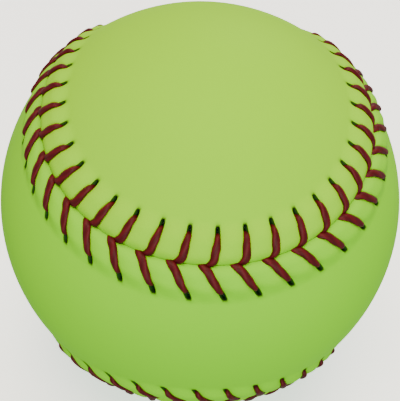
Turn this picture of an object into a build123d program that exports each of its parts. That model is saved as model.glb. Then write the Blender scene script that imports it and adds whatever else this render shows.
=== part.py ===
from build123d import *
import math
import os

# Softball with a two-panel leather cover, sewn with two threads. Millimetres.
# The origin is the middle of the ball and +Z is up, through the middle of the upper panel's
# upper lobe. The seam is the same after half a turn about Y.

# Ball
BALL_CIRCUMFERENCE = 304.8  # over the smooth leather
WINDING_THICKNESS = 5.6
LATEX_THICKNESS = 0.4
LAYER_GAP = 0.05  # between one layer and the next

# Seam line, as shares of its main wave
WAIST_PINCH = 0.48  # the larger, the narrower the waists
LOBE_REACH = 1.09  # the larger, the further the lobes reach round the ball
SEAM_KNOTS = 64

# Leather
LEATHER_THICKNESS = 1.4
EDGE_THICKNESS = 0.8  # where the panels are pared thin along the seam
SEAM_GAP = 0.1  # between the two edges
CREST_START = 2.6  # across, from the seam to the flat top of the raised lip
CREST_MARGIN = 0.4  # across, from the end of the flat top to a hole
FIELD_MARGIN = 0.3  # across, from a hole to where the smooth shell takes over
FOOT_MARGIN = 0.7  # across, from there to where the lip is level with the ball
LIP_ROOT = 0.2  # depth at which the lip ends inside the smooth shell
EDGE_ROUND = 1.1  # across, how far the edge of the lip is rounded

# Stitching
STITCH_COUNT = 88
STITCH_START = 0.84  # along, from the start of the seam line to the first stitch
THREAD_WIDTH = 1.3
THREAD_HEIGHT = 1.0
NECK_WIDTH = 0.85  # of the thread where a hole squeezes it
THREAD_PLAY = 0.1  # round the thread
THREAD_SIDES = 6
HOLE_NEAR = 5.2  # across, from the seam to the near end of a hole
HOLE_LENGTH = 2.2
HOLE_POINT = 0.7  # length of the pointed far end
UPPER_LEAN = 1.8  # along, how far a hole lies behind its stitch
FRONT_LEAN = 3.3
PAIR_SPACING = 1.4  # along, between the two threads of a stitch at the seam
DIVE_STEP = 0.25  # across, from the seam to where a thread turns down into it
TAIL_SHARE = 0.4  # of a hidden run that is left as the cut end of a thread

BALL_RADIUS = BALL_CIRCUMFERENCE / (2 * math.pi)
COVER_BORE = BALL_RADIUS - LEATHER_THICKNESS
LATEX_RADIUS = COVER_BORE - LAYER_GAP
WINDING_RADIUS = LATEX_RADIUS - LATEX_THICKNESS - LAYER_GAP
CORE_RADIUS = WINDING_RADIUS - WINDING_THICKNESS - LAYER_GAP

# Distances across are measured from the seam.
HOLE_FAR = HOLE_NEAR + HOLE_LENGTH
HOLE_MIDDLE = (HOLE_NEAR + THREAD_HEIGHT / 2 + HOLE_FAR - HOLE_POINT) / 2  # where the thread comes up
CREST_END = HOLE_NEAR - CREST_MARGIN
FIELD_START = HOLE_FAR + FIELD_MARGIN
LIP_FOOT = FIELD_START + FOOT_MARGIN

# Heights are measured from the smooth leather. The hidden thread lifts the lips by its own height.
LIP_RISE = THREAD_HEIGHT + 2 * THREAD_PLAY
LIP_UNDERSIDE = LIP_RISE - LEATHER_THICKNESS
EDGE_TOP = LIP_UNDERSIDE + EDGE_THICKNESS
HIDDEN_HEIGHT = THREAD_PLAY + THREAD_HEIGHT / 2 - LEATHER_THICKNESS
CUT_DEPTH = 3 * LEATHER_THICKNESS  # of every cutter, both ways

UPPER = -1
FRONT = 1
LEAN = {UPPER: UPPER_LEAN, FRONT: FRONT_LEAN}


def seam_ray(turn):
    """Direction of the seam line from the middle of the ball, at a share of one turn."""
    angle = 2 * math.pi * turn
    first = math.cos(angle) + WAIST_PINCH * math.cos(3 * angle)
    second = math.sin(angle) - WAIST_PINCH * math.sin(3 * angle)
    swing = LOBE_REACH * math.sin(2 * angle)
    return Vector((second + first) / math.sqrt(2), swing, (second - first) / math.sqrt(2)).normalized()


SEAM = Spline(*[seam_ray(i / SEAM_KNOTS) * BALL_RADIUS for i in range(SEAM_KNOTS)], periodic=True)
STITCH_PITCH = SEAM.length / STITCH_COUNT


def seam_frame(along):
    """The seam's outward, sideways and forward directions at a distance along it."""
    share = (along / SEAM.length) % 1
    outward = (SEAM @ share).normalized()
    forward = SEAM % share
    return outward, outward.cross(forward).normalized(), forward


def spot(frame, across, height):
    """Point at a distance across the seam and a height above the smooth leather."""
    outward, sideways, _ = frame
    angle = across / BALL_RADIUS
    return (outward * math.cos(angle) + sideways * math.sin(angle)) * (BALL_RADIUS + height)


def lip_top(across):
    """Height of the raised lip's outer face at a distance from the seam."""
    if across < CREST_START:
        share = (CREST_START - across) / CREST_START
        return LIP_RISE - (LIP_RISE - EDGE_TOP) * share**2
    share = min(max((across - CREST_END) / (LIP_FOOT - CREST_END), 0), 1)
    return LIP_RISE * (1 + math.cos(math.pi * share)) / 2


def faceted_skin(rings, closed):
    """Solid inside flat facets between rings of corners, closed on itself or capped at its two ends."""
    facets = []
    for here, there in zip(rings, rings[1:] + rings[:closed]):
        for k in range(len(here)):
            facets.append(Face(Wire.make_polygon([here[k - 1], here[k], there[k]])))
            facets.append(Face(Wire.make_polygon([here[k - 1], there[k], there[k - 1]])))
    if not closed:
        facets += [Face(Wire.make_polygon(ring)) for ring in (rings[0], rings[-1])]
    return Solid(Shell(facets))


def seam_ring(outline):
    """Closed ring with one outline of (across, height) points, carried along the whole seam."""
    rings = []
    for i in range(STITCH_COUNT):
        frame = seam_frame(i * STITCH_PITCH)
        rings.append([spot(frame, across, height) for across, height in outline])
    return faceted_skin(rings, closed=True)


def lip(side):
    """One panel's raised lip, which bridges the hidden thread beside the seam."""
    edge = SEAM_GAP / 2
    slope = (CREST_END + LIP_FOOT) / 2
    stations = (edge, EDGE_ROUND, CREST_START, CREST_END, slope, FIELD_START)
    outline = [(across, lip_top(across)) for across in stations]
    outline.append((LIP_FOOT, -LIP_ROOT))
    outline.append((FIELD_START + LIP_ROOT, LIP_ROOT - LEATHER_THICKNESS))
    outline.append((HOLE_MIDDLE, LIP_UNDERSIDE))
    outline.append((edge, LIP_UNDERSIDE))
    return seam_ring([(side * across, height) for across, height in outline])


def panel_fields():
    """The smooth shells of both panels, cut back from the seam to the feet of their lips."""
    outline = [(FIELD_START, -CUT_DEPTH), (FIELD_START, CUT_DEPTH)]
    outline += [(-across, height) for across, height in reversed(outline)]
    shell = hollow_ball(BALL_RADIUS, COVER_BORE)
    front, upper = shell.cut(seam_ring(outline)).solids().sort_by(Axis.Y)
    return {UPPER: upper, FRONT: front}


def leg_along(stitch, side, across):
    """Place along the seam of a leg of a stitch, at a distance across from the seam."""
    at_seam = side * PAIR_SPACING / 2
    drift = -LEAN[side] - at_seam
    return STITCH_START + stitch * STITCH_PITCH + at_seam + drift * across / HOLE_FAR


def stitch_hole(stitch, side):
    """Cutter of one hole, square at the thread and pointed away from the seam."""
    near = spot(seam_frame(leg_along(stitch, side, HOLE_NEAR)), side * HOLE_NEAR, -CUT_DEPTH)
    far = spot(seam_frame(leg_along(stitch, side, HOLE_FAR)), side * HOLE_FAR, -CUT_DEPTH)
    outward = (near + far).normalized()
    lengthwise = (far - near).normalized()
    half = outward.cross(lengthwise) * (THREAD_HEIGHT / 2 + THREAD_PLAY)
    shoulder = far - lengthwise * HOLE_POINT
    outline = Wire.make_polygon([near - half, shoulder - half, far, shoulder + half, near + half])
    return Solid.extrude(Face(outline), outward * 2 * CUT_DEPTH)


def seam_notch(stitch):
    """Cutter of the opening where both threads of a stitch go down between the panel edges."""
    frame = seam_frame(STITCH_START + stitch * STITCH_PITCH)
    outward, _, forward = frame
    length = PAIR_SPACING + THREAD_WIDTH + 2 * THREAD_PLAY
    width = 2 * DIVE_STEP + THREAD_HEIGHT + 2 * THREAD_PLAY
    plane = Plane(origin=spot(frame, 0, 0), x_dir=forward, z_dir=outward)
    return plane * Box(length, width, 2 * CUT_DEPTH)


def cover_panel(side, field):
    """One leather panel with its lip, its row of holes and its share of the seam notches."""
    cutters = []
    for stitch in range(STITCH_COUNT):
        cutters.append(stitch_hole(stitch, side))
        cutters.append(seam_notch(stitch))
    return lip(side).cut(*cutters).fuse(field)


def stitch_points(stitch, side):
    """One stitch of one thread: up through a hole, over the lip and down through the seam.

    Each point is (along, across, height, width of the thread there).
    """
    above = THREAD_HEIGHT / 2 + THREAD_PLAY
    hole_top = lip_top(HOLE_MIDDLE) + above
    crest = (CREST_START + CREST_END) / 2
    points = [
        (HOLE_MIDDLE, HIDDEN_HEIGHT, NECK_WIDTH),
        (HOLE_MIDDLE, hole_top, NECK_WIDTH),
        (crest, LIP_RISE + above, THREAD_WIDTH),
        (DIVE_STEP, lip_top(EDGE_ROUND / 2) + above, THREAD_WIDTH),
    ]
    route = []
    for across, height, width in points:
        route.append((leg_along(stitch, side, across), side * across, height, width))
    route.append((leg_along(stitch, side, 0), -side * DIVE_STEP, HIDDEN_HEIGHT, THREAD_WIDTH))
    return route


def between(start, end, share):
    """Point at a share of the way from one thread point to the next."""
    return tuple(a + (b - a) * share for a, b in zip(start, end))


def thread_route(first_side):
    """Points of one thread, which works on the two panels by turns, with a hidden cut end at each end."""
    route = []
    side = first_side
    for stitch in range(-1, STITCH_COUNT + 1):
        route.append(stitch_points(stitch, side))
        side = -side
    before, stitches, after = route[0], route[1:-1], route[-1]
    points = [point for stitch in stitches for point in stitch]
    head = between(points[0], before[-1], TAIL_SHARE)
    tail = between(points[-1], after[0], TAIL_SHARE)
    return [head] + points + [tail]


def thread_section(centre, heading, forward, width):
    """Corners of the thread round a point, with its width across the way that it runs."""
    flat = (forward - heading * forward.dot(heading)).normalized()
    crown = heading.cross(flat)
    corners = []
    for k in range(THREAD_SIDES):
        angle = 2 * math.pi * k / THREAD_SIDES
        aside = flat * (math.cos(angle) * width / 2)
        up = crown * (math.sin(angle) * THREAD_HEIGHT / 2)
        corners.append(centre + aside + up)
    return corners


def stitch_thread(first_side):
    """One thread, whole, from its first cut end to its last."""
    route = thread_route(first_side)
    frames = [seam_frame(along) for along, _, _, _ in route]
    centres = [spot(frame, across, height) for frame, (_, across, height, _) in zip(frames, route)]
    steps = [(end - start).normalized() for start, end in zip(centres, centres[1:])]
    rings = []
    for i, centre in enumerate(centres):
        heading = (steps[max(i - 1, 0)] + steps[min(i, len(steps) - 1)]).normalized()
        rings.append(thread_section(centre, heading, frames[i][2], route[i][3]))
    return faceted_skin(rings, closed=False)


def hollow_ball(outside, inside):
    """One closed layer round the core."""
    return Solid.make_sphere(outside) - Solid.make_sphere(inside)


def main():
    os.makedirs("parts", exist_ok=True)
    fields = panel_fields()
    parts = {
        "core": Solid.make_sphere(CORE_RADIUS),
        "yarn_winding": hollow_ball(WINDING_RADIUS, CORE_RADIUS + LAYER_GAP),
        "latex_coat": hollow_ball(LATEX_RADIUS, WINDING_RADIUS + LAYER_GAP),
        "cover_panel_upper": cover_panel(UPPER, fields[UPPER]),
        "cover_panel_front": cover_panel(FRONT, fields[FRONT]),
        "stitch_thread_one": stitch_thread(UPPER),
        "stitch_thread_two": stitch_thread(FRONT),
    }
    for name, part in parts.items():
        part.label = name
        export_step(part, f"parts/{name}.step", write_pcurves=False)
        print(name, len(part.solids()), "solids", round(part.volume), "mm3")


if __name__ == "__main__":
    main()
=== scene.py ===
import logging
import math
from dataclasses import dataclass, field
from enum import Enum
from typing import Dict, List, Optional, Sequence, Tuple, Union

import bpy
import numpy as np
from mathutils import Matrix, Vector
from mathutils.geometry import delaunay_2d_cdt


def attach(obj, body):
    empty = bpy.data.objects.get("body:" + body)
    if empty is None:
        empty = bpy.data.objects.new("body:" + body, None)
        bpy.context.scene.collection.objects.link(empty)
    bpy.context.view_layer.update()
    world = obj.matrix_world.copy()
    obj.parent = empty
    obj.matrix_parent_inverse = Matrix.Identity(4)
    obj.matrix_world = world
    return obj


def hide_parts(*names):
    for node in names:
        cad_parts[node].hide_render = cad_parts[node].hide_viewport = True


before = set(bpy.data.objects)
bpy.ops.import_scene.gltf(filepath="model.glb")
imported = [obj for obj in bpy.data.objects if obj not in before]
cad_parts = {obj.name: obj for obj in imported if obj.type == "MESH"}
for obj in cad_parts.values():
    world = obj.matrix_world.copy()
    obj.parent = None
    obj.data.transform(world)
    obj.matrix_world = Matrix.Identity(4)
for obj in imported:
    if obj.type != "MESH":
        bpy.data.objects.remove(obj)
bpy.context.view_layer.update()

# A softball: two leather panels sewn together with two dark red threads. Metres, +Z up.
# "Along" runs with the seam, "across" away from it, and heights start at the smooth leather.
# "Beside" is the distance along the seam from the nearest stitch's leg.

MM = 0.001
BODY = "root"
LOG = logging.getLogger("softball")
NOISE_MIDDLE = 0.5  # average of a noise
FINE_PER_COARSE = 4  # columns of a panel's fine band for each vertex round its field

Array = np.ndarray
Colour = Tuple[float, float, float]
Face = List[int]
Value = Union["Socket", float, Sequence[float]]


def ramp(value: Array, start: float, end: float) -> Array:
    """Rise smoothly from 0 at one value to 1 at another.

    Args:
        value: Numbers to place on the ramp.
        start: Where the ramp leaves 0.
        end: Where the ramp reaches 1.

    Returns:
        One share per number.
    """
    share = np.clip((np.asarray(value, float) - start) / (end - start), 0.0, 1.0)
    return share * share * (3.0 - 2.0 * share)


def bell(value: Array, width: float, power: int = 2) -> Array:
    """Fall from 1 in the middle of a bell to almost 0 beyond its width.

    Args:
        value: Distances from the middle.
        width: Distance at which about a third is left.
        power: The larger, the flatter the top and the steeper the sides.

    Returns:
        One share per distance.
    """
    return np.exp(-((value / width) ** power))


def unit(vectors: Array) -> Array:
    """Return the vectors at length one."""
    return vectors / np.linalg.norm(vectors, axis=-1, keepdims=True)


def between(first: Array, second: Array, start: float, end: float, place: Array) -> Array:
    """Mix two points, or two runs of points, by the place between two knots.

    Args:
        first: What stands at the first knot.
        second: What stands at the second knot.
        start: The first knot.
        end: The second knot.
        place: Places to mix for.

    Returns:
        One point per place.
    """
    return (end - place) / (end - start) * first + (place - start) / (end - start) * second


def ring_faces(rings: int, count: int) -> List[Face]:
    """Join rings of vertices, each to the next one.

    Args:
        rings: Number of rings.
        count: Vertices in each ring.

    Returns:
        Corners of the faces.
    """
    faces = []
    for ring in range(rings - 1):
        for k in range(count):
            here, after = ring * count + k, ring * count + (k + 1) % count
            faces.append([here, after, after + count, here + count])
    return faces


class Side(Enum):
    """The panel that a stitch, a lip or a hole belongs to, by its sign across the seam."""

    UPPER = -1
    FRONT = 1

    @property
    def other(self) -> "Side":
        """The panel on the far side of the seam."""
        return Side(-self.value)


class Socket:
    """One output of a shader node, which can be used in arithmetic."""

    def __init__(self, shader: "Shader", output: bpy.types.NodeSocket) -> None:
        """Keep the shader and the output that this stands for.

        Args:
            shader: The shader that the output belongs to.
            output: The output itself.
        """
        self.shader = shader
        self.output = output

    def __add__(self, other: Value) -> "Socket":
        """Return this plus another value."""
        return self.shader.math("ADD", self, other)

    def __radd__(self, other: Value) -> "Socket":
        """Return another value plus this."""
        return self.shader.math("ADD", other, self)

    def __sub__(self, other: Value) -> "Socket":
        """Return this less another value."""
        return self.shader.math("SUBTRACT", self, other)

    def __rsub__(self, other: Value) -> "Socket":
        """Return another value less this."""
        return self.shader.math("SUBTRACT", other, self)

    def __mul__(self, other: Value) -> "Socket":
        """Return this times another value."""
        return self.shader.math("MULTIPLY", self, other)

    def __rmul__(self, other: Value) -> "Socket":
        """Return another value times this."""
        return self.shader.math("MULTIPLY", other, self)


class Shader:
    """A material in the making, whose surface is one Principled BSDF."""

    def __init__(self, name: str) -> None:
        """Start an empty material.

        Args:
            name: Name of the material.
        """
        self.material = bpy.data.materials.new(name)
        self.material.use_nodes = True
        self.tree = self.material.node_tree
        self.tree.nodes.clear()

    def node(
        self,
        kind: str,
        settings: Optional[Dict[str, object]] = None,
        inputs: Optional[Dict[Union[str, int], Value]] = None,
        output: Union[str, int] = 0,
    ) -> Socket:
        """Add a node and join its inputs.

        Args:
            kind: Blender's name for the node's type.
            settings: Properties of the node.
            inputs: A value or a socket for each input that is set.
            output: The output to return.

        Returns:
            The chosen output.
        """
        made = self.tree.nodes.new(kind)
        for name, value in (settings or {}).items():
            setattr(made, name, value)
        for key, value in (inputs or {}).items():
            if isinstance(value, Socket):
                self.tree.links.new(value.output, made.inputs[key])
            else:
                made.inputs[key].default_value = value
        return Socket(self, made.outputs[output])

    def math(self, operation: str, *values: Value) -> Socket:
        """Add a Math node on these values."""
        return self.node("ShaderNodeMath", {"operation": operation}, dict(enumerate(values)))

    def mix(self, share: Value, low: Union[Socket, Colour], high: Union[Socket, Colour]) -> Socket:
        """Mix two colours.

        Args:
            share: Share of the second colour.
            low: First colour.
            high: Second colour.

        Returns:
            The mixed colour.
        """
        ends = [end if isinstance(end, Socket) else (*end, 1.0) for end in (low, high)]
        return self.node("ShaderNodeMix", {"data_type": "RGBA"}, {0: share, 6: ends[0], 7: ends[1]}, 2)

    def place(self) -> Socket:
        """Return the place on the piece, in metres in the row frame."""
        return self.node("ShaderNodeTexCoord", output="Object")

    def painted(self, name: str) -> Socket:
        """Return a value that is stored on the vertices of the mesh."""
        return self.node("ShaderNodeAttribute", {"attribute_name": name}, output="Fac")

    def noise(self, size: float, detail: float = 2.0) -> Socket:
        """Add noise with features of about one size.

        Args:
            size: Size of the features, in metres.
            detail: How many finer layers there are.

        Returns:
            The noise, from 0 to 1.
        """
        inputs = {"Vector": self.place(), "Scale": 1.0 / size, "Detail": detail}
        return self.node("ShaderNodeTexNoise", inputs=inputs)

    def cells(self, size: float, feature: str = "F1", output: str = "Distance") -> Socket:
        """Add a pattern of cells.

        Args:
            size: Size of the cells, in metres.
            feature: The distance that the pattern shows.
            output: The output to return.

        Returns:
            The pattern.
        """
        inputs = {"Vector": self.place(), "Scale": 1.0 / size}
        return self.node("ShaderNodeTexVoronoi", {"feature": feature}, inputs, output)

    def bump(self, height: Socket, depth: float) -> Socket:
        """Turn a height into a normal.

        Args:
            height: Height from 0 to 1.
            depth: What 1 stands for, in metres.

        Returns:
            The normal.
        """
        return self.node("ShaderNodeBump", inputs={"Height": height, "Distance": depth})

    def surface(self, **inputs: Value) -> bpy.types.Material:
        """Close the material with its surface.

        Args:
            **inputs: Inputs of the surface, with _ for the spaces in their names.

        Returns:
            The finished material.
        """
        named = {key.replace("_", " "): value for key, value in inputs.items()}
        skin = self.node("ShaderNodeBsdfPrincipled", inputs=named)
        end = self.tree.nodes.new("ShaderNodeOutputMaterial")
        self.tree.links.new(skin.output, end.inputs["Surface"])
        return self.material


@dataclass(frozen=True)
class LeatherFinish:
    """Optic yellow cover leather with a fine grain and a soft sheen."""

    name: str
    dye: Colour
    deep_dye: Colour
    # Painted shade, with dye pooled in the creases: the darker colour along the seam, under the threads
    # and round the holes.
    crease_dye_and_shade: Colour = (0.08, 0.28, 0.002)
    # Painted shadow: the near-black green on the inner skin and on the walls and rims of the holes stands
    # in for the shade inside the holes and the seam's gap.
    inside: Colour = (0.006, 0.02, 0.008)
    cloud_size: float = 14.0 * MM
    cloud_share: float = 0.25
    grain_size: float = 0.55 * MM
    grain_depth: float = 0.03 * MM
    pebble_share: float = 0.7
    roughness: float = 0.5
    pore_roughness: float = 0.12
    crease_roughness: float = 0.1
    specular: float = 0.02

    def material(self) -> bpy.types.Material:
        """Make the leather's material.

        Returns:
            The material.
        """
        shader = Shader(self.name)
        crease_dye_and_shade = shader.painted("crease_dye_and_shade")
        cloud = shader.noise(self.cloud_size)
        pebble = shader.cells(self.grain_size, "SMOOTH_F1")
        pores = shader.noise(self.grain_size / 2)
        grain = self.pebble_share * (1 - pebble) + (1 - self.pebble_share) * pores
        colour = shader.mix(self.cloud_share * cloud, self.dye, self.deep_dye)
        # Painted shade in the creases, with dye pooled there, darkens the leather along the seam, under
        # the threads and round the holes.
        colour = shader.mix(crease_dye_and_shade, colour, self.crease_dye_and_shade)
        # Painted shadow inside the holes and the seam's gap.
        colour = shader.mix(shader.painted("inside"), colour, self.inside)
        rough = self.roughness + self.pore_roughness * (pores - NOISE_MIDDLE)
        return shader.surface(
            Base_Color=colour,
            Roughness=rough + self.crease_roughness * crease_dye_and_shade,
            Specular_IOR_Level=self.specular,
            Normal=shader.bump(grain, self.grain_depth),
        )


# In the photo the front panel is a little greener than the upper one, so the upper panel's colour is made
# yellower than the front panel's.
UPPER_LEATHER = LeatherFinish("upper_leather", dye=(0.258, 0.575, 0.001), deep_dye=(0.228, 0.54, 0.001))
FRONT_LEATHER = LeatherFinish("front_leather", dye=(0.22, 0.585, 0.001), deep_dye=(0.194, 0.55, 0.001))


@dataclass(frozen=True)
class ThreadFinish:
    """Dark red waxed thread."""

    dye: Colour = (0.096, 0.003, 0.006)
    # Painted shade: the darker groove colour goes where the thread dips between its twisted plies.
    groove: Colour = (0.048, 0.0015, 0.003)
    ply_shade_share: float = 0.75
    fibre_size: float = 0.16 * MM
    fibre_detail: float = 3.0
    fibre_depth: float = 0.04 * MM
    fibre_share: float = 0.5
    fibre_start: float = 0.25
    roughness: float = 0.48
    fibre_roughness: float = 0.2
    specular: float = 0.14

    def material(self) -> bpy.types.Material:
        """Make the thread's material.

        Returns:
            The material.
        """
        shader = Shader("waxed_thread")
        fibre = shader.noise(self.fibre_size, self.fibre_detail)
        ply = shader.painted("ply")
        # Painted shade between the plies, plus a random fibre tone.
        share = self.ply_shade_share * ply + self.fibre_share * (fibre - self.fibre_start)
        return shader.surface(
            Base_Color=shader.mix(share, self.groove, self.dye),
            Roughness=self.roughness + self.fibre_roughness * (fibre - NOISE_MIDDLE),
            Specular_IOR_Level=self.specular,
            Normal=shader.bump(fibre, self.fibre_depth),
        )


@dataclass(frozen=True)
class CoreFinish:
    """Moulded cork and rubber, in crumbs of two browns."""

    rubber: Colour = (0.10, 0.06, 0.035)
    cork: Colour = (0.36, 0.22, 0.12)
    crumb_size: float = 3.0 * MM
    cork_limit: float = 0.45
    grain_share: float = 0.2
    grain_depth: float = 0.2 * MM
    roughness: float = 0.75
    grain_roughness: float = 0.15

    def material(self) -> bpy.types.Material:
        """Make the core's material.

        Returns:
            The material.
        """
        shader = Shader("cork_rubber")
        crumb = shader.node("ShaderNodeRGBToBW", inputs={0: shader.cells(self.crumb_size, output="Color")})
        is_cork = shader.math("GREATER_THAN", crumb, self.cork_limit)
        grain = shader.noise(self.crumb_size / 4)
        share = (1 - self.grain_share) * is_cork + self.grain_share * grain
        return shader.surface(
            Base_Color=shader.mix(share, self.rubber, self.cork),
            Roughness=self.roughness + self.grain_roughness * grain,
            Normal=shader.bump(grain, self.grain_depth),
        )


@dataclass(frozen=True)
class YarnFinish:
    """Turns of undyed yarn, laid over each other in many directions."""

    yarn: Colour = (0.62, 0.58, 0.50)
    shade: Colour = (0.34, 0.30, 0.24)
    yarn_width: float = 1.1 * MM
    turns_per_width: float = 0.3
    wander: float = 3.0
    fuzz_share: float = 0.2
    depth: float = 0.4 * MM
    roughness: float = 0.85
    fuzz_roughness: float = 0.1

    def material(self) -> bpy.types.Material:
        """Make the winding's material.

        Returns:
            The material.
        """
        shader = Shader("yarn_winding")
        settings = {"wave_type": "RINGS", "rings_direction": "Y"}
        scale = self.turns_per_width / self.yarn_width
        inputs = {"Vector": shader.place(), "Scale": scale, "Distortion": self.wander}
        turns = shader.node("ShaderNodeTexWave", settings, inputs, "Fac")
        fuzz = shader.noise(self.yarn_width / 5)
        height = (1 - self.fuzz_share) * turns + self.fuzz_share * fuzz
        return shader.surface(
            Base_Color=shader.mix(height, self.shade, self.yarn),
            Roughness=self.roughness + self.fuzz_roughness * fuzz,
            Normal=shader.bump(height, self.depth),
        )


@dataclass(frozen=True)
class LatexFinish:
    """A dried film of rubber cement."""

    film: Colour = (0.30, 0.28, 0.18)
    thick: Colour = (0.22, 0.19, 0.11)
    patch_size: float = 6.0 * MM
    patch_detail: float = 4.0
    depth: float = 0.3 * MM
    roughness: float = 0.35
    patch_roughness: float = 0.3

    def material(self) -> bpy.types.Material:
        """Make the film's material.

        Returns:
            The material.
        """
        shader = Shader("latex_film")
        patch = shader.noise(self.patch_size, self.patch_detail)
        return shader.surface(
            Base_Color=shader.mix(patch, self.film, self.thick),
            Roughness=self.roughness + self.patch_roughness * patch,
            Normal=shader.bump(patch, self.depth),
        )


@dataclass(frozen=True)
class FloorFinish:
    """A plain pale floor."""

    colour: Colour = (0.92, 0.93, 0.92)
    glow: float = 1.2
    roughness: float = 0.9

    def material(self) -> bpy.types.Material:
        """Make the floor's material.

        Returns:
            The material.
        """
        white = (*self.colour, 1.0)
        return Shader("floor_pale").surface(
            Base_Color=white,
            Roughness=self.roughness,
            Emission_Color=white,
            Emission_Strength=self.glow,
        )


def add_piece(
    name: str,
    points: Array,
    faces: List[Face],
    painted: Dict[str, Array],
    material: bpy.types.Material,
    sharp_angle: float,
) -> bpy.types.Object:
    """Make a mesh object with smooth faces and values on its vertices.

    Args:
        name: Name of the piece.
        points: Its vertices, in metres in the row frame.
        faces: Corners of its faces.
        painted: Values on the vertices, by name.
        material: What it is made of.
        sharp_angle: Angle between faces from which an edge shows, in degrees.

    Returns:
        The piece, linked to the scene.
    """
    mesh = bpy.data.meshes.new(name)
    mesh.from_pydata(points.tolist(), [], faces)
    for key, values in painted.items():
        layer = mesh.attributes.new(key, "FLOAT", "POINT")
        layer.data.foreach_set("value", np.asarray(values, np.float32))
    mesh.polygons.foreach_set("use_smooth", np.ones(len(faces), bool))
    mesh.set_sharp_from_angle(angle=math.radians(sharp_angle))
    mesh.materials.append(material)
    piece = bpy.data.objects.new(name, mesh)
    bpy.context.scene.collection.objects.link(piece)
    return piece


@dataclass
class SeamLine:
    """The closed line where the two panels meet, and places measured from it."""

    radius: float = 304.8 * MM / (2 * math.pi)
    waist_pinch: float = 0.48
    lobe_reach: float = 1.09
    samples: int = 8192
    turns: Array = field(init=False)
    lengths: Array = field(init=False)

    def __post_init__(self) -> None:
        """Measure the line."""
        self.turns = np.arange(self.samples + 1) / self.samples
        steps = np.linalg.norm(np.diff(self.ray(self.turns), axis=0), axis=1)
        self.lengths = np.concatenate(([0.0], np.cumsum(steps))) * self.radius

    @property
    def length(self) -> float:
        """Length of the whole line."""
        return float(self.lengths[-1])

    def ray(self, turn: Array) -> Array:
        """Find the direction of the line from the middle of the ball.

        Args:
            turn: Shares of one turn round the line.

        Returns:
            One unit vector per share.
        """
        angle = 2 * np.pi * turn
        first = np.cos(angle) + self.waist_pinch * np.cos(3 * angle)
        second = np.sin(angle) - self.waist_pinch * np.sin(3 * angle)
        swing = self.lobe_reach * np.sin(2 * angle)
        root = math.sqrt(2)
        return unit(np.stack([(second + first) / root, swing, (second - first) / root], axis=-1))

    def axes(self, along: Array) -> Tuple[Array, Array, Array]:
        """Find the line's own directions.

        Args:
            along: Distances along the line.

        Returns:
            The outward, sideways and forward directions. Sideways is towards the front panel.
        """
        turn = np.interp(np.mod(along, self.length), self.lengths, self.turns)
        outward = self.ray(turn)
        step = 1.0 / self.samples
        forward = self.ray(turn + step) - self.ray(turn - step)
        forward = unit(forward - outward * np.sum(forward * outward, axis=-1, keepdims=True))
        return outward, np.cross(outward, forward), forward

    def spot(self, along: Array, across: Array, height: Array) -> Array:
        """Find points on or over the leather.

        Args:
            along: Distances along the line.
            across: Distances from the line, positive on the front panel.
            height: Heights above the smooth leather.

        Returns:
            One point per set of distances.
        """
        outward, sideways, _ = self.axes(along)
        angle = (across / self.radius)[..., None]
        ray = outward * np.cos(angle) + sideways * np.sin(angle)
        return ray * (self.radius + height)[..., None]


@dataclass(frozen=True)
class Stitching:
    """Where the stitches lie on the seam."""

    seam_length: float
    count: int = 88
    start: float = 0.84 * MM
    pair_spacing: float = 1.4 * MM
    upper_lean: float = 1.8 * MM
    front_lean: float = 3.3 * MM
    hole_near: float = 4.8 * MM
    hole_far: float = 7.25 * MM
    lean_reach: float = 7.4 * MM
    turn_start: float = 5.6 * MM
    upper_turn: float = 0.0
    front_turn: float = 0.7
    hole_half_width: float = 0.56 * MM
    hole_tip: float = 0.26 * MM
    dive_sweep: float = 0.9 * MM

    @property
    def pitch(self) -> float:
        """Distance along the seam from one stitch to the next."""
        return self.seam_length / self.count

    def leg(self, side: Side, stitch: Array, across: Array) -> Array:
        """Find the line of a stitch's leg and of its hole, which turns towards the field.

        Args:
            side: The panel that the leg lies on.
            stitch: Numbers of the stitches.
            across: Distances from the seam.

        Returns:
            Distances along the seam.
        """
        upper = side is Side.UPPER
        lean = self.upper_lean if upper else self.front_lean
        turn = self.upper_turn if upper else self.front_turn
        at_seam = side.value * self.pair_spacing / 2
        share = (across - (1 - turn) * np.maximum(across - self.turn_start, 0.0)) / self.lean_reach
        return self.start + stitch * self.pitch + at_seam - (lean + at_seam) * share


@dataclass(frozen=True)
class Relief:
    """How high the leather stands beside the seam, where the threads pull and lift it."""

    stitching: Stitching
    rise: float = 1.0 * MM
    edge_top: float = 0.15 * MM
    edge_curve: float = 2.6
    crest_start: float = 2.6 * MM
    crest_end: float = 4.0 * MM
    foot: float = 8.3 * MM
    puff: float = 0.3 * MM
    puff_level: float = 0.4
    puff_start: float = 1.8 * MM
    groove: float = 0.32 * MM
    groove_width: float = 0.72 * MM
    dimple: float = 0.28 * MM
    dimple_reach: float = 1.2 * MM

    def lip(self, across: Array) -> Array:
        """Find the height of the lip, without its pillows.

        Args:
            across: Distances from the seam.

        Returns:
            Heights above the smooth leather.
        """
        inner = np.clip((self.crest_start - across) / self.crest_start, 0.0, 1.0)
        edge = (self.rise - self.edge_top) * inner**self.edge_curve
        return self.rise * (1 - ramp(across, self.crest_end, self.foot)) - edge

    def height(self, beside: Array, across: Array) -> Array:
        """Find the height of the leather.

        Args:
            beside: Distances along the seam from the nearest leg.
            across: Distances from the seam.

        Returns:
            Heights above the smooth leather.
        """
        near, far = self.stitching.hole_near, self.stitching.hole_far
        pillow = np.sin(np.pi * beside / self.stitching.pitch) ** 2 - self.puff_level
        spread = ramp(across, 0.0, self.puff_start) * (1 - ramp(across, near, self.foot))
        trough = bell(beside, self.groove_width) * (1 - ramp(across, near, far))
        from_hole = across - (near + far) / 2
        dent = np.exp(-((beside / self.dimple_reach) ** 2 + (from_hole / self.dimple_reach) ** 2))
        lifted = self.lip(across) + self.puff * pillow * spread
        return lifted - self.groove * trough - self.dimple * dent


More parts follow.
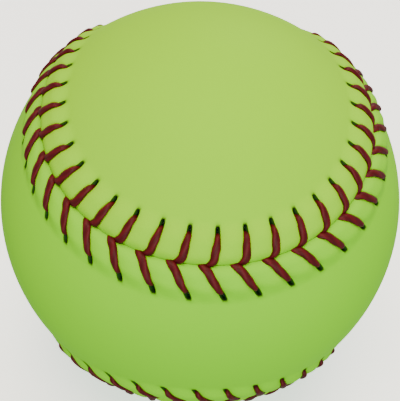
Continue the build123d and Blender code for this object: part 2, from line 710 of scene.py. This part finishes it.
@dataclass(frozen=True)
class CreaseShade:
    """How much painted shade, with dye pooled in the creases, darkens the leather along the seam, under
    the threads and round the holes.
    """

    seam: float = 0.3
    seam_width: float = 0.45 * MM
    groove: float = 0.4
    groove_width: float = 0.6 * MM
    rim: float = 0.45
    rim_width: float = 0.7 * MM
    rim_start: float = 4.8 * MM
    rim_full: float = 5.6 * MM
    rim_fade: float = 7.6 * MM
    rim_end: float = 8.4 * MM

    def depth(self, beside: Array, across: Array) -> Array:
        """Find how much painted shade and pooled dye darken each place.

        Args:
            beside: Distances along the seam from the nearest leg.
            across: Distances from the seam.

        Returns:
            One share per place, from 0 on smooth leather to 1.
        """
        at_hole = ramp(across, self.rim_start, self.rim_full)
        rim = bell(beside, self.rim_width) * at_hole * (1 - ramp(across, self.rim_fade, self.rim_end))
        groove = self.groove * bell(beside, self.groove_width) * (1 - at_hole)
        return np.clip(self.seam * bell(across, self.seam_width) + self.rim * rim + groove, 0.0, 1.0)


@dataclass
class CoverPanel:
    """One leather panel: a fine band beside the seam and a smooth field inside it."""

    side: Side
    node: str
    seam: SeamLine
    stitching: Stitching
    relief: Relief
    shade: CreaseShade = CreaseShade()
    columns: int = 16
    column_crowding: float = 1.6
    rim_column: int = 2
    edge_rows: int = 6
    lip_rows: int = 8
    hole_rows: int = 8
    foot_rows: int = 5
    squeeze_rows: int = 3
    rim_round: int = 4
    edge_width: float = 1.2 * MM
    gap: float = 0.08 * MM
    notch: float = 0.32 * MM
    notch_half_length: float = 1.35 * MM
    notch_flatness: int = 4
    notch_reach: float = 1.4 * MM
    band_end: float = 9.4 * MM
    field_start: float = 10.1 * MM
    field_step: float = 2.2 * MM
    field_margin: float = 0.6
    seam_checks: int = 2048
    merge_distance: float = 1e-9
    thickness: float = 1.3 * MM
    slit_close: float = 0.06
    rim_shade: float = 0.92
    sharp_angle: float = 60.0
    points: List[Array] = field(default_factory=list)
    backs: List[Array] = field(default_factory=list)
    faces: List[Face] = field(default_factory=list)

    def rows(self) -> Tuple[Array, int, int]:
        """Space the band's rows.

        Returns:
            Distances from the seam, and the numbers of the rows at the two ends of the holes.
        """
        near, far = self.stitching.hole_near, self.stitching.hole_far
        edge = self.edge_width * np.linspace(0, 1, self.edge_rows + 1) ** 2
        lip = np.linspace(edge[-1], near, self.lip_rows + 1)[1:]
        hole = np.linspace(near, far, self.hole_rows + 1)[1:]
        foot = np.linspace(far, self.band_end, self.foot_rows + 1)[1:]
        first = self.edge_rows + self.lip_rows
        return np.concatenate([edge, lip, hole, foot]), first, first + self.hole_rows

    def beside(self) -> Array:
        """Space the columns of one stitch, closest at its leg, as distances along from the leg."""
        share = np.arange(self.columns) / (self.columns / 2) - 1
        return self.stitching.pitch / 2 * np.sign(share) * np.abs(share) ** self.column_crowding

    def squeeze(self, rows: Array, first: int, last: int) -> Array:
        """Find how far each row draws the columns at the leg together, so that they follow a hole's rim.

        Args:
            rows: Distances of the rows from the seam.
            first: Row at the near end of the holes.
            last: Row at the far end.

        Returns:
            One scale per row.
        """
        holes = self.stitching
        rim = self.beside()[self.columns // 2 + self.rim_column]
        share = np.clip((rows - holes.hole_near) / (holes.hole_far - holes.hole_near), 0.0, 1.0)
        taper = np.sqrt(1 - share**self.rim_round)
        scale = (holes.hole_tip + (holes.hole_half_width - holes.hole_tip) * taper) / rim
        before = ramp(np.arange(len(rows)), first - self.squeeze_rows, first)
        after = ramp(np.arange(len(rows)), last, last + self.squeeze_rows)
        return (1 + (scale - 1) * before) * (1 - after) + after

    def opening(self, beside: Array) -> Array:
        """Find how far the edge stands back from the seam, which is most where the threads go down.

        Args:
            beside: Distances along the seam from the nearest leg.

        Returns:
            One distance per place.
        """
        holes = self.stitching
        from_pair = beside + self.side.value * holes.pair_spacing / 2 - holes.dive_sweep / 2
        return self.gap / 2 + self.notch * bell(from_pair, self.notch_half_length, self.notch_flatness)

    def spots(self, along: Array, across: Array, height: Array) -> Array:
        """Find points on this panel's side of the seam, in one list."""
        return self.seam.spot(along, self.side.value * across, height).reshape(-1, 3)

    def band(self) -> Tuple[Array, Array]:
        """Lay out the fine band beside the seam and its holes.

        Returns:
            How deep each vertex lies in a crease, and the numbers of the vertices in the last row.
        """
        rows, first, last = self.rows()
        stitches = self.stitching.count
        close = np.abs(np.arange(self.columns) - self.columns // 2) <= self.rim_column
        scale = np.where(close[None, :], self.squeeze(rows, first, last)[:, None], 1.0)
        beside = np.tile(self.beside()[None, :] * scale, (1, stitches))
        stitch = np.repeat(np.arange(stitches), self.columns)[None, :]
        across = np.repeat(rows[:, None], beside.shape[1], axis=1)
        across = across + self.opening(beside) * (1 - ramp(across, 0.0, self.notch_reach))
        along = self.stitching.leg(self.side, stitch, across) + beside
        height = self.relief.height(beside, across)
        self.points.append(self.spots(along, across, height))
        number = np.arange(len(rows))
        slit = close[None, :] & ((number >= first) & (number <= last))[:, None]
        closing = np.tile(np.where(slit, 1 - self.slit_close, 0.0), (1, stitches))
        self.backs.append(self.spots(along - closing * beside, across, height - self.thickness))
        self.join_rows(len(rows), first, last)
        total = self.columns * stitches
        return self.shade.depth(beside, across).reshape(-1), np.arange(total) + (len(rows) - 1) * total

    def join_rows(self, count: int, first: int, last: int) -> None:
        """Join the band's rows with faces, but leave the holes open.

        Args:
            count: Number of rows.
            first: Row at the near end of the holes.
            last: Row at the far end.
        """
        total = self.columns * self.stitching.count
        for row in range(count - 1):
            for column in range(total):
                place = column % self.columns - self.columns // 2
                if first <= row < last and -self.rim_column <= place < self.rim_column:
                    continue
                after = (column + 1) % total
                corners = [row * total + column, row * total + after]
                self.faces.append(corners + [corner + total for corner in reversed(corners)])

    def coarse_edge(self, last_row: Array) -> Array:
        """Join the band's last row to a row of a quarter as many vertices.

        Args:
            last_row: Numbers of the vertices in the band's last row.

        Returns:
            Numbers of the vertices in the coarse row.
        """
        base = len(np.concatenate(self.points))
        stitch = np.repeat(np.arange(self.stitching.count), self.columns // FINE_PER_COARSE)
        beside = np.tile(self.beside()[::FINE_PER_COARSE], self.stitching.count)
        across = np.full(len(beside), self.field_start)
        along = self.stitching.leg(self.side, stitch, across) + beside
        edge = self.spots(along, across, np.zeros(len(beside)))
        self.points.append(edge)
        self.backs.append(edge - unit(edge) * self.thickness)
        count = len(beside)
        for group in range(count):
            here, there = base + group, base + (group + 1) % count
            start = FINE_PER_COARSE * group
            fine = [int(last_row[(start + k) % len(last_row)]) for k in range(FINE_PER_COARSE + 1)]
            self.faces += [[fine[0], fine[1], here], [fine[1], fine[2], here], [fine[2], there, here]]
            self.faces += [[fine[2], fine[3], there], [fine[3], fine[4], there]]
        return base + np.arange(count)

    def field_rays(self) -> Array:
        """Spread points evenly over the ball and keep those in this panel's field.

        Returns:
            One unit vector per point.
        """
        radius = self.seam.radius
        count = int(4 * math.pi * radius**2 / (self.field_step**2 * math.sqrt(3) / 2))
        order = np.arange(count) + 0.5
        level = 1 - 2 * order / count
        turn = math.pi * (1 + math.sqrt(5)) * order
        flat = np.sqrt(1 - level**2)
        rays = np.stack([flat * np.cos(turn), level, flat * np.sin(turn)], axis=1)
        along = np.linspace(0, self.seam.length, self.seam_checks, endpoint=False)
        outward, sideways, _ = self.seam.axes(along)
        closeness = rays @ outward.T
        away = np.arccos(np.clip(np.max(closeness, axis=1), -1.0, 1.0)) * radius
        nearest = np.argmax(closeness, axis=1)
        own = np.sign(np.sum(rays * sideways[nearest], axis=1)) == self.side.value
        return rays[own & (away > self.field_start + self.field_margin * self.field_step)]

    def fill_field(self, rim: Array) -> None:
        """Fill the smooth middle of the panel.

        Args:
            rim: Numbers of the vertices round it.
        """
        inside = self.field_rays()
        radius = self.seam.radius
        base = len(np.concatenate(self.points))
        rim_rays = unit(np.concatenate(self.points)[rim])
        self.points.append(inside * radius)
        self.backs.append(inside * (radius - self.thickness))
        numbers = np.concatenate([rim, base + np.arange(len(inside))])
        chart = np.concatenate([rim_rays, inside])
        chart = chart[:, [0, 2]] / (1 - self.side.value * chart[:, 1:2])
        loop = [(i, (i + 1) % len(rim)) for i in range(len(rim))]
        spots = [Vector(spot) for spot in chart.tolist()]
        found = delaunay_2d_cdt(spots, loop, [], 1, self.merge_distance)
        origin = [sources[0] for sources in found[3]]
        everything = np.concatenate(self.points)
        for corners in found[2]:
            face = [int(numbers[origin[corner]]) for corner in corners]
            a, b, c = everything[face]
            turned = float(np.dot(np.cross(b - a, c - a), a)) > 0
            self.faces.append(face if turned == (self.side is Side.FRONT) else face[::-1])

    def shell(self, crease_dye_and_shade: Array) -> Tuple[Array, Dict[str, Array]]:
        """Give the skin its thickness: an inner skin, and walls round the edge and the holes.

        Args:
            crease_dye_and_shade: How much painted shade and pooled dye each vertex of the band takes in
                the creases.

        Returns:
            The vertices, and the values on them.
        """
        if self.side is Side.UPPER:
            self.faces = [face[::-1] for face in self.faces]
        used = np.unique(np.concatenate([np.asarray(face) for face in self.faces]))
        fresh = np.full(used.max() + 1, -1)
        fresh[used] = np.arange(len(used))
        outer = np.concatenate(self.points)[used]
        skin = [fresh[face].tolist() for face in self.faces]
        steps = {(a, b) for face in skin for a, b in zip(face, face[1:] + face[:1])}
        count = len(outer)
        back = [[corner + count for corner in reversed(face)] for face in skin]
        walls = [[b, a, a + count, b + count] for a, b in sorted(steps) if (b, a) not in steps]
        self.faces = skin + back + walls
        # Painted shadow: the inner skin takes all of the dark inside colour and the holes' rims take
        # rim_shade of it, so the walls of the holes and of the seam's edge darken inwards.
        shade = np.zeros(count)
        edge = self.columns * self.stitching.count
        shade[[wall[0] for wall in walls if wall[0] >= edge]] = self.rim_shade
        depth = np.zeros(used.max() + 1)
        depth[: len(crease_dye_and_shade)] = crease_dye_and_shade
        inner = np.concatenate(self.backs)[used]
        painted = {
            "crease_dye_and_shade": np.tile(depth[used], 2),
            "inside": np.concatenate([shade, np.ones(count)]),
        }
        return np.concatenate([outer, inner]), painted

    def build(self, material: bpy.types.Material) -> bpy.types.Object:
        """Build the panel and put it in the frame.

        Args:
            material: The leather.

        Returns:
            The panel.
        """
        crease_dye_and_shade, last_row = self.band()
        self.fill_field(self.coarse_edge(last_row))
        points, painted = self.shell(crease_dye_and_shade)
        piece = add_piece(f"{self.node}_leather", points, self.faces, painted, material, self.sharp_angle)
        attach(piece, BODY)
        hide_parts(self.node)
        return piece


@dataclass
class StitchThread:
    """One waxed thread, which works on the two panels by turns."""

    first: Side
    node: str
    seam: SeamLine
    stitching: Stitching
    relief: Relief
    # Where a stitch is laid out, in millimetres across, from its hole to the seam.
    stops: Tuple[float, ...] = (5.3, 5.35, 5.05, 4.4, 3.4, 2.3, 1.3, 0.6, 0.1, -0.25)
    width: float = 1.6 * MM
    height: float = 1.0 * MM
    neck: float = 1.16 * MM
    neck_start: float = 3.2 * MM
    sink: float = 0.06 * MM
    # A thread dips into its hole between these two distances past the hole's near end.
    dip: float = 0.5 * MM
    dip_start: float = 0.2 * MM
    dip_full: float = 0.6 * MM
    # It sweeps along the seam as it goes down between these two distances across.
    sweep_start: float = 1.1 * MM
    sweep_full: float = -0.3 * MM
    seam_level: float = -0.05 * MM
    hidden: float = -0.8 * MM
    tail: float = 4.0 * MM
    plies: int = 3
    ply_depth: float = 0.06
    lay: float = 4.2 * MM
    sides: int = 15
    steps: int = 4
    sharp_angle: float = 70.0

    def stitch(self, number: int, side: Side) -> Array:
        """Lay out one stitch: up through a hole, over the lip and down into the seam.

        Args:
            number: Number of the stitch.
            side: The panel that it lies on.

        Returns:
            Rows of distance along, distance across, height and width.
        """
        near = self.stitching.hole_near
        across = np.array(self.stops) * MM
        lift = self.relief.height(np.zeros(len(across)), np.abs(across)) + self.height / 2 - self.sink
        lift = lift - self.dip * ramp(across, near + self.dip_start, near + self.dip_full)
        lift[0] = lift[-1] = self.hidden
        lift[-2] = self.seam_level
        squeezed = ramp(across, self.neck_start, near + self.dip_start)
        width = self.width + (self.neck - self.width) * squeezed
        along = self.stitching.leg(side, np.full(len(across), number), np.maximum(across, 0.0))
        swept = 1 - ramp(across, self.sweep_full, self.sweep_start)
        along = along + self.stitching.dive_sweep * swept
        return np.stack([along, side.value * across, lift, width], axis=1)

    def route(self) -> Array:
        """Lay out the whole thread, from one hidden end to the other.

        Returns:
            Rows of distance along, distance across, height and width.
        """
        side = self.first
        rows = []
        for number in range(self.stitching.count):
            rows.append(self.stitch(number, side))
            side = side.other
        tail = np.array([self.tail, 0.0, 0.0, 0.0])
        return np.concatenate([rows[0][:1] - tail, *rows, rows[-1][-1:] + tail])

    def smoothed(self, stops: Array) -> Array:
        """Run a smooth line through the stops, a centripetal Catmull-Rom spline.

        Args:
            stops: Points on the way.

        Returns:
            The line's points, closer together.
        """
        padded = np.concatenate([2 * stops[:1] - stops[1:2], stops, 2 * stops[-1:] - stops[-2:-1]])
        gaps = np.linalg.norm(np.diff(padded, axis=0), axis=1)
        knots = np.concatenate([[0.0], np.cumsum(np.sqrt(gaps))])
        parts = []
        for k in range(1, len(padded) - 2):
            p = padded[k - 1 : k + 3]
            t = knots[k - 1 : k + 3]
            place = np.linspace(t[1], t[2], self.steps, endpoint=False)[:, None]
            lines = [between(p[i], p[i + 1], t[i], t[i + 1], place) for i in range(3)]
            bows = [between(lines[i], lines[i + 1], t[i], t[i + 2], place) for i in range(2)]
            parts.append(between(bows[0], bows[1], t[1], t[2], place))
        return np.concatenate([*parts, stops[-1:]])

    def skin(self, route: Array, line: Array, run: Array) -> Tuple[Array, Array]:
        """Wrap the flat, twisted section round the thread's line.

        Args:
            route: Rows of distance along, distance across, height and width.
            line: Points of the smooth line through the route.
            run: Length of the thread up to each point.

        Returns:
            The vertices, ring by ring, and how far each stands out on its ply, from 0 to 1.
        """
        order = np.linspace(0, len(route) - 1, len(line))
        along, width = (np.interp(order, np.arange(len(route)), route[:, k]) for k in (0, 3))
        heading = unit(np.gradient(line, axis=0))
        forward = self.seam.axes(along)[2]
        flat = unit(forward - heading * np.sum(forward * heading, axis=1, keepdims=True))
        crown = np.cross(heading, flat)
        angle = 2 * np.pi * np.arange(self.sides) / self.sides
        ply = np.cos(self.plies * angle[None, :] - 2 * np.pi * run[:, None] / self.lay)
        swell = (1 + self.ply_depth * ply)[..., None]
        aside = flat[:, None, :] * (np.cos(angle)[None, :, None] * width[:, None, None] / 2)
        upward = crown[:, None, :] * (np.sin(angle)[None, :, None] * self.height / 2)
        points = line[:, None, :] + (aside + upward) * swell
        return points.reshape(-1, 3), (0.5 + 0.5 * ply).reshape(-1)

    def build(self, material: bpy.types.Material) -> Tuple[bpy.types.Object, float]:
        """Build the thread and put it in the frame.

        Args:
            material: The thread's material.

        Returns:
            The thread, and its length.
        """
        route = self.route()
        line = self.smoothed(self.seam.spot(route[:, 0], route[:, 1], route[:, 2]))
        run = np.concatenate([[0.0], np.cumsum(np.linalg.norm(np.diff(line, axis=0), axis=1))])
        points, ply = self.skin(route, line, run)
        faces = ring_faces(len(line), self.sides)
        faces.append(list(range(self.sides))[::-1])
        faces.append(list(range(len(points) - self.sides, len(points))))
        piece = add_piece(f"{self.node}_waxed", points, faces, {"ply": ply}, material, self.sharp_angle)
        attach(piece, BODY)
        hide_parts(self.node)
        return piece, float(run[-1])


@dataclass
class InnerLayers:
    """The layers under the cover, which keep their CAD shape."""

    finishes: Dict[str, Tuple[str, Union[CoreFinish, YarnFinish, LatexFinish]]] = field(
        default_factory=lambda: {
            "core": ("core", CoreFinish()),
            "yarn_winding": ("winding", YarnFinish()),
            "latex_coat": ("latex", LatexFinish()),
        }
    )

    def dress(self) -> List[str]:
        """Give each layer its material.

        Returns:
            The layers' names.
        """
        for node, (slot, finish) in self.finishes.items():
            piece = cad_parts[node]
            piece.data.materials.clear()
            piece.data.materials.append(finish.material())
        return list(self.finishes)


@dataclass(frozen=True)
class SoftLight:
    """One square light that faces the ball."""

    name: str
    place: Tuple[float, float, float]
    power: float
    colour: Colour
    size: float = 1.0

    def hang(self) -> None:
        """Add the light to the scene."""
        data = bpy.data.lights.new(self.name, "AREA")
        data.size = self.size
        data.energy = self.power
        data.color = self.colour
        lamp = bpy.data.objects.new(self.name, data)
        lamp.location = self.place
        lamp.rotation_euler = (-Vector(self.place)).to_track_quat("-Z", "Y").to_euler()
        bpy.context.scene.collection.objects.link(lamp)


@dataclass
class Studio:
    """Floor, lights and camera. The camera stands where the photo was taken from."""

    radius: float
    floor_radius: float = 2.5
    bend_radius: float = 1.5
    bend_steps: int = 12
    wall_height: float = 3.0
    floor_sides: int = 96
    floor_sharp_angle: float = 60.0
    lamps: Tuple[SoftLight, ...] = (
        SoftLight("key_above", (-0.1, -0.3, 1.6), 36.0, (1.0, 0.73, 0.57)),
        SoftLight("fill_front", (0.15, -1.6, 0.4), 27.0, (0.76, 1.0, 0.9)),
        SoftLight("fill_back", (0.5, 1.3, 1.2), 16.0, (1.0, 0.92, 0.84)),
    )
    sky: Colour = (0.86, 1.0, 0.92)
    sky_strength: float = 0.64
    azimuth: float = -4.148
    elevation: float = 39.603
    roll: float = 3.251
    distance: float = 3.5163  # in radii of the ball
    lens: float = 60.37
    sensor_width: float = 36.0
    clip: Tuple[float, float] = (0.01, 20.0)

    def floor(self) -> None:
        """Lay the floor under the ball, which bends up into a wall all round."""
        bend = np.linspace(0, math.pi / 2, self.bend_steps + 1)
        out = np.append(np.sin(bend), 1.0) * self.bend_radius + self.floor_radius
        rise = np.append((1 - np.cos(bend)) * self.bend_radius, self.wall_height) - self.radius
        turn = 2 * np.pi * np.arange(self.floor_sides) / self.floor_sides
        level = np.ones(self.floor_sides)
        rings = [
            np.column_stack([reach * np.cos(turn), reach * np.sin(turn), height * level])
            for reach, height in zip(out, rise)
        ]
        faces = [list(range(self.floor_sides))]
        faces += [face[::-1] for face in ring_faces(len(rings), self.floor_sides)]
        material = FloorFinish().material()
        piece = add_piece("floor", np.concatenate(rings), faces, {}, material, self.floor_sharp_angle)
        piece.visible_diffuse = False
        piece.visible_glossy = False

    def lights(self) -> None:
        """Light the ball evenly from above and in front, with a pale sky all round."""
        for lamp in self.lamps:
            lamp.hang()
        world = bpy.data.worlds.new("pale_sky")
        world.use_nodes = True
        sky = world.node_tree.nodes["Background"]
        sky.inputs["Color"].default_value = (*self.sky, 1.0)
        sky.inputs["Strength"].default_value = self.sky_strength
        bpy.context.scene.world = world

    def camera(self) -> None:
        """Set up the camera."""
        azimuth, elevation, roll = (math.radians(a) for a in (self.azimuth, self.elevation, self.roll))
        level = math.cos(elevation)
        back = Vector((math.sin(azimuth) * level, -math.cos(azimuth) * level, math.sin(elevation)))
        right = Vector((math.cos(azimuth), math.sin(azimuth), 0.0))
        up = back.cross(right)
        turned = math.cos(roll) * right + math.sin(roll) * up
        raised = math.cos(roll) * up - math.sin(roll) * right
        data = bpy.data.cameras.new("camera")
        data.lens = self.lens
        data.sensor_width = self.sensor_width
        data.clip_start, data.clip_end = self.clip
        place = Matrix((turned, raised, back)).transposed().to_4x4()
        place.translation = back * (self.distance * self.radius)
        camera = bpy.data.objects.new("camera", data)
        camera.matrix_world = place
        bpy.context.scene.collection.objects.link(camera)
        bpy.context.scene.camera = camera


def main() -> None:
    """Build the ball, its stage and its lights."""
    logging.basicConfig(level=logging.INFO, format="%(message)s")
    seam = SeamLine()
    stitching = Stitching(seam.length)
    relief = Relief(stitching)
    for side, leather in ((Side.UPPER, UPPER_LEATHER), (Side.FRONT, FRONT_LEATHER)):
        panel = CoverPanel(side, f"cover_panel_{side.name.lower()}", seam, stitching, relief)
        piece = panel.build(leather.material())
        LOG.info("%s: %d faces", piece.name, len(piece.data.polygons))
    waxed = ThreadFinish().material()
    for side, number in ((Side.UPPER, "one"), (Side.FRONT, "two")):
        thread = StitchThread(side, f"stitch_thread_{number}", seam, stitching, relief)
        piece, length = thread.build(waxed)
        LOG.info("%s: %d faces, %.3f m long", piece.name, len(piece.data.polygons), length)
    for name in InnerLayers().dress():
        LOG.info("%s: CAD shape kept", name)
    studio = Studio(seam.radius)
    studio.floor()
    studio.lights()
    studio.camera()


if __name__ == "__main__":
    main()
